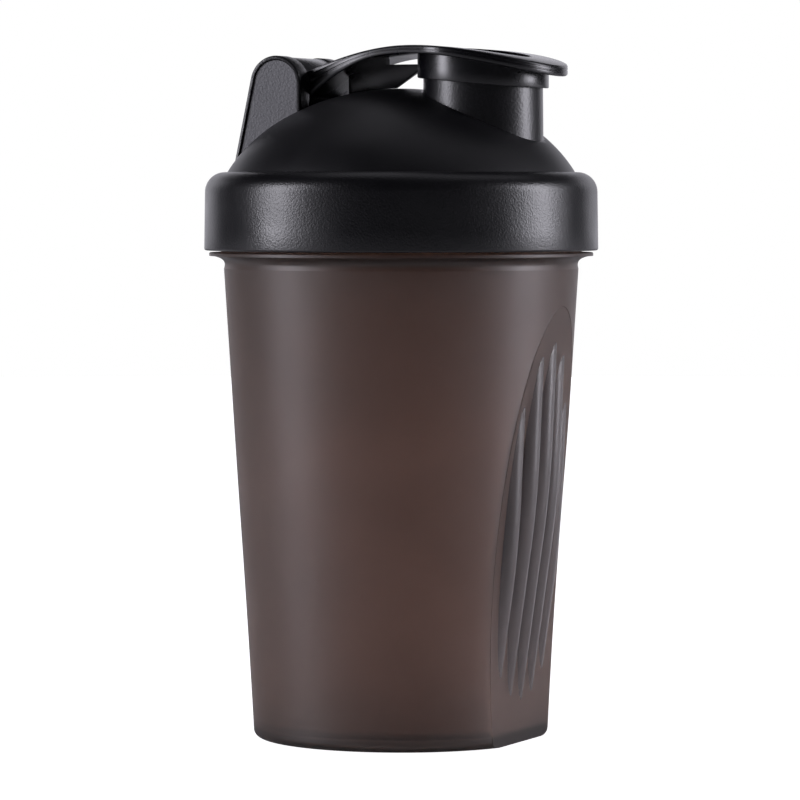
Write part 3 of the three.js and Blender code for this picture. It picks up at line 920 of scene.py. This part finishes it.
def skirt_body(cap, lid):
    """The skirt that closes round the spout, as heights from 0 to 1 under the arch."""
    inner = lid.spout_radius + 0.4 * MM
    outer = cap.ring_radius
    edge = 0.3 * MM
    profile = [(inner, 0.9), (inner, 0.03), (inner + edge / 2, 0), (outer - edge, 0),
               (outer - 0.3 * edge, 0.01), (outer, 0.05), (outer, 0.35), (outer, 0.65), (outer, 0.9)]
    return under_arch(spun(profile, 128, lid.spout_offset, closed=True), cap, lid, cap.ring_edge, 0.2)


def plug_body(cap, lid):
    """The plug that closes the spout's mouth."""
    radius = lid.spout_radius - lid.spout_wall - 0.3 * MM
    profile = [(0, 0), (radius - 1.2 * MM, 0), (radius - 0.6 * MM, 0.05), (radius, 0.3), (radius, 0.9),
               (0, 0.9)]
    return under_arch(spun(profile, 96, lid.spout_offset), cap, lid, cap.plug_foot, 0.2)


def recess_tool(cap, lid):
    """The hollow in the top of the plug, with a rounded lip."""
    bm = spun([(0, 0), (cap.recess_radius - 0.8 * MM, 0), (cap.recess_radius, 0.1),
               (cap.recess_radius, 0.9), (cap.recess_radius + 0.15 * MM, 0.95),
               (cap.recess_radius + 0.5 * MM, 1), (cap.recess_radius + 0.6 * MM, 1.2), (0, 1.2)],
              96, lid.spout_offset)
    return under_arch(bm, cap, lid, cap.plug_foot + 1.3 * MM, 0)


def keel_tools(cap, lid):
    """The web under the arm, and the slot that runs through it below the arch."""
    heel, toe = -13.6 * MM, -1.4 * MM
    meet = lid.spout_offset - cap.ring_radius + 0.5 * MM
    slope, gap, half = math.radians(33), 0.1 * MM, 1 * MM

    def stations(start, end):
        return [lerp(start, end, i / 8) for i in range(9)]

    def dome(x):
        return lid.dome_centre + lid.dome_rise * math.sqrt(1 - (x / lid.dome_radius) ** 2) + gap

    rest = [(x, dome(x)) for x in stations(heel, toe)]
    roof = [(x, arch_height(cap, x) - 0.4 * arm_thickness(cap, lid, x)) for x in stations(meet, heel)]
    outline = rest + [(meet, dome(toe) + (meet - toe) * math.tan(slope))] + roof
    web = block(outline, -half, half, 0.2 * MM, 2)
    start, slot_height = -3.5 * MM, 2.2 * MM
    low = arch_height(cap, meet) - cap.edge - slot_height
    slot_roof = [(x, arch_height(cap, x) - arm_thickness(cap, lid, x)) for x in stations(meet, start)]
    slot = block([(start, low), (meet, low), *slot_roof], -2 * half, 2 * half)
    return web, slot


class SHAKER_OT_flip_cap(bpy.types.Operator):
    """Add the flip cap: knuckle, arched arm, disc, skirt, plug and keel"""

    bl_idname = "shaker.flip_cap"
    bl_label = "Flip cap"

    def execute(self, context):
        lid, cap = context.scene.shaker_lid, context.scene.shaker_cap
        half = cap.knuckle_width / 2
        web, slot = keel_tools(cap, lid)
        keel = combined(piece("keel", web), [piece("slot", slot)], "DIFFERENCE")
        made = piece("flip_cap_shell", arm_plate(cap, lid))
        knuckle = piece("knuckle", rod(cap.knuckle_radius, -half, half, 96, 0.25 * MM))
        combined(made, [knuckle, piece("skirt", skirt_body(cap, lid)),
                        piece("plug", plug_body(cap, lid)), keel], "UNION")
        bore = rod(cap.pin_radius + 0.35 * MM, -2 * half, 2 * half, 48)
        combined(made, [piece("recess", recess_tool(cap, lid)), piece("bore", bore)], "DIFFERENCE")
        finished(made, "cap", [cap_plastic(context.scene.shaker_finish)], "flip_cap")
        return {"FINISHED"}


# ---- small parts -------------------------------------------------------------------------------

class SHAKER_OT_small_parts(bpy.types.Operator):
    """Add the hinge pin and the silicone seal, and finish the mixing grid"""

    bl_idname = "shaker.small_parts"
    bl_label = "Pin, seal and grid"

    def execute(self, context):
        lid, cap = context.scene.shaker_lid, context.scene.shaker_cap
        finish = context.scene.shaker_finish
        pin_low, pin_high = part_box("hinge_pin")
        pin = piece("hinge_pin_rod", rod(cap.pin_radius, pin_low.y, pin_high.y, 48, 0.3 * MM))
        finished(pin, "lid", [cap_plastic(finish)], "hinge_pin")
        inner, outer = SEAL_HIGH.x - lid.seal_width, SEAL_HIGH.x
        edge = 0.5 * MM
        low, high = SEAL_LOW.z, SEAL_HIGH.z
        section = (arc(outer - edge, low + edge, edge, -90, 0, 4)
                   + arc(outer - edge, high - edge, edge, 0, 90, 4)
                   + arc(inner + edge, high - edge, edge, 90, 180, 4)
                   + arc(inner + edge, low + edge, edge, 180, 270, 4))
        seal = piece("lid_seal_ring", spun(section, 160, closed=True))
        finished(seal, "seal", [silicone(finish)], "lid_seal")
        grid = frame["nodes"]["mixing_grid"]
        grid.data.materials.clear()
        grid.data.materials.append(dome_plastic(finish))
        return {"FINISHED"}


# ---- studio ------------------------------------------------------------------------------------

VIEW_AZIMUTH = math.radians(24.5)
VIEW_DISTANCE = 1.08
VIEW_HEIGHT = 0.1318
VIEW_LENS = 201.3
AIM_HEIGHT = 0.0814
AIM_LEFT = 0.3 * MM
FLOOR_RADIUS = 2.1
SOFTBOX_TINT = (0.93, 0.915, 1.0)
SOFTBOX_AIM = 0.09

# Name, degrees from the camera's side, distance, height, width and length, radiance.
SOFTBOXES = (
    ("left_softbox", -76, 1.5, 0.45, (0.46, 1.0), 13.6),
    ("right_softbox", 88, 1.5, 0.4, (0.58, 1.0), 11.4),
    ("backdrop", 180, 2.2, 0.45, (4.0, 1.3), 1.0),
    ("overhead", 150, 0.5, 1.6, (1.6, 1.2), 0.4),
)


def compass(turn):
    """Unit vector from the bottle towards a light, turned from the camera's side, positive to the right."""
    a = VIEW_AZIMUTH + turn
    return Vector((math.sin(a), -math.cos(a), 0))


def softbox(name, turn, distance, height, size, radiance):
    """A rectangular area light that looks at the bottle."""
    data = bpy.data.lights.new(name, "AREA")
    data.shape = "RECTANGLE"
    data.size, data.size_y = size
    data.color = SOFTBOX_TINT
    data.energy = radiance * math.pi * size[0] * size[1]
    lamp = bpy.data.objects.new(name, data)
    bpy.context.scene.collection.objects.link(lamp)
    lamp.location = compass(math.radians(turn)) * distance + Vector((0, 0, height))
    away = lamp.location - Vector((0, 0, SOFTBOX_AIM))
    lamp.rotation_euler = away.to_track_quat("Z", "Y").to_euler()
    lamp.visible_camera = False


def studio_world():
    """White to the camera, a faint grey fill to everything else."""
    world = bpy.data.worlds.new("Studio")
    bpy.context.scene.world = world
    world.use_nodes = True
    tree = world.node_tree
    new, link = tree.nodes.new, tree.links.new
    seen = tree.nodes["Background"]
    seen.inputs["Color"].default_value = (1, 1, 1, 1)
    fill = new("ShaderNodeBackground")
    fill.inputs["Color"].default_value = (0.02, 0.02, 0.021, 1)
    path = new("ShaderNodeLightPath")
    mix = new("ShaderNodeMixShader")
    link(path.outputs["Is Camera Ray"], mix.inputs["Fac"])
    link(fill.outputs["Background"], mix.inputs[1])
    link(seen.outputs["Background"], mix.inputs[2])
    link(mix.outputs["Shader"], tree.nodes["World Output"].inputs["Surface"])


def studio_floor():
    """A pale floor that the camera sees as white."""
    bm = bmesh.new()
    bmesh.ops.create_circle(bm, cap_ends=True, segments=64, radius=FLOOR_RADIUS)
    floor = piece("floor", bm)
    material = bpy.data.materials.new("White floor")
    material.use_nodes = True
    tree = material.node_tree
    new, link = tree.nodes.new, tree.links.new
    shader = tree.nodes["Principled BSDF"]
    shader.inputs["Base Color"].default_value = (0.8, 0.8, 0.8, 1)
    shader.inputs["Roughness"].default_value = 0.8
    shader.inputs["Emission Color"].default_value = (1, 1, 1, 1)
    path = new("ShaderNodeLightPath")
    level = new("ShaderNodeMath")
    level.operation = "MULTIPLY"
    level.inputs[1].default_value = 0.9
    link(path.outputs["Is Camera Ray"], level.inputs[0])
    link(level.outputs["Value"], shader.inputs["Emission Strength"])
    floor.data.materials.append(material)


class SHAKER_OT_stage(bpy.types.Operator):
    """Add the floor, the lights and the camera"""

    bl_idname = "shaker.stage"
    bl_label = "Stage"

    def execute(self, context):
        scene = context.scene
        scene.view_settings.view_transform = "Standard"
        studio_world()
        studio_floor()
        for values in SOFTBOXES:
            softbox(*values)
        data = bpy.data.cameras.new("camera")
        data.lens = VIEW_LENS
        data.sensor_width = 36
        camera = bpy.data.objects.new("camera", data)
        scene.collection.objects.link(camera)
        camera.location = compass(0) * VIEW_DISTANCE + Vector((0, 0, VIEW_HEIGHT))
        right = Vector((math.cos(VIEW_AZIMUTH), math.sin(VIEW_AZIMUTH), 0))
        aim = Vector((0, 0, AIM_HEIGHT)) - AIM_LEFT * right
        camera.rotation_euler = (camera.location - aim).to_track_quat("Z", "Y").to_euler()
        scene.camera = camera
        return {"FINISHED"}


class SHAKER_PT_panel(bpy.types.Panel):
    """Lists the bottle's pieces"""

    bl_idname = "SHAKER_PT_panel"
    bl_label = "Shaker Bottle"
    bl_space_type = "VIEW_3D"
    bl_region_type = "UI"
    bl_category = "Shaker"

    def draw(self, context):
        for operator in OPERATORS:
            self.layout.operator(operator.bl_idname)
        for name, group in SETTINGS.items():
            box = self.layout.box()
            box.label(text=group.__doc__)
            for item in group.__annotations__:
                box.prop(getattr(context.scene, name), item)


OPERATORS = (SHAKER_OT_stage, SHAKER_OT_cup, SHAKER_OT_lid, SHAKER_OT_flip_cap, SHAKER_OT_small_parts)
CLASSES = (*SETTINGS.values(), *OPERATORS, SHAKER_PT_panel)


def register():
    """Adds the settings, the operators and the panel."""
    for cls in CLASSES:
        bpy.utils.register_class(cls)
    for name, group in SETTINGS.items():
        setattr(bpy.types.Scene, name, PointerProperty(type=group))


def unregister():
    """Takes them away again."""
    for name in SETTINGS:
        delattr(bpy.types.Scene, name)
    for cls in reversed(CLASSES):
        bpy.utils.unregister_class(cls)


def main():
    """Builds the whole bottle."""
    register()
    bpy.ops.shaker.stage()
    bpy.ops.shaker.cup()
    bpy.ops.shaker.lid()
    bpy.ops.shaker.flip_cap()
    bpy.ops.shaker.small_parts()


if __name__ == "__main__":
    main()
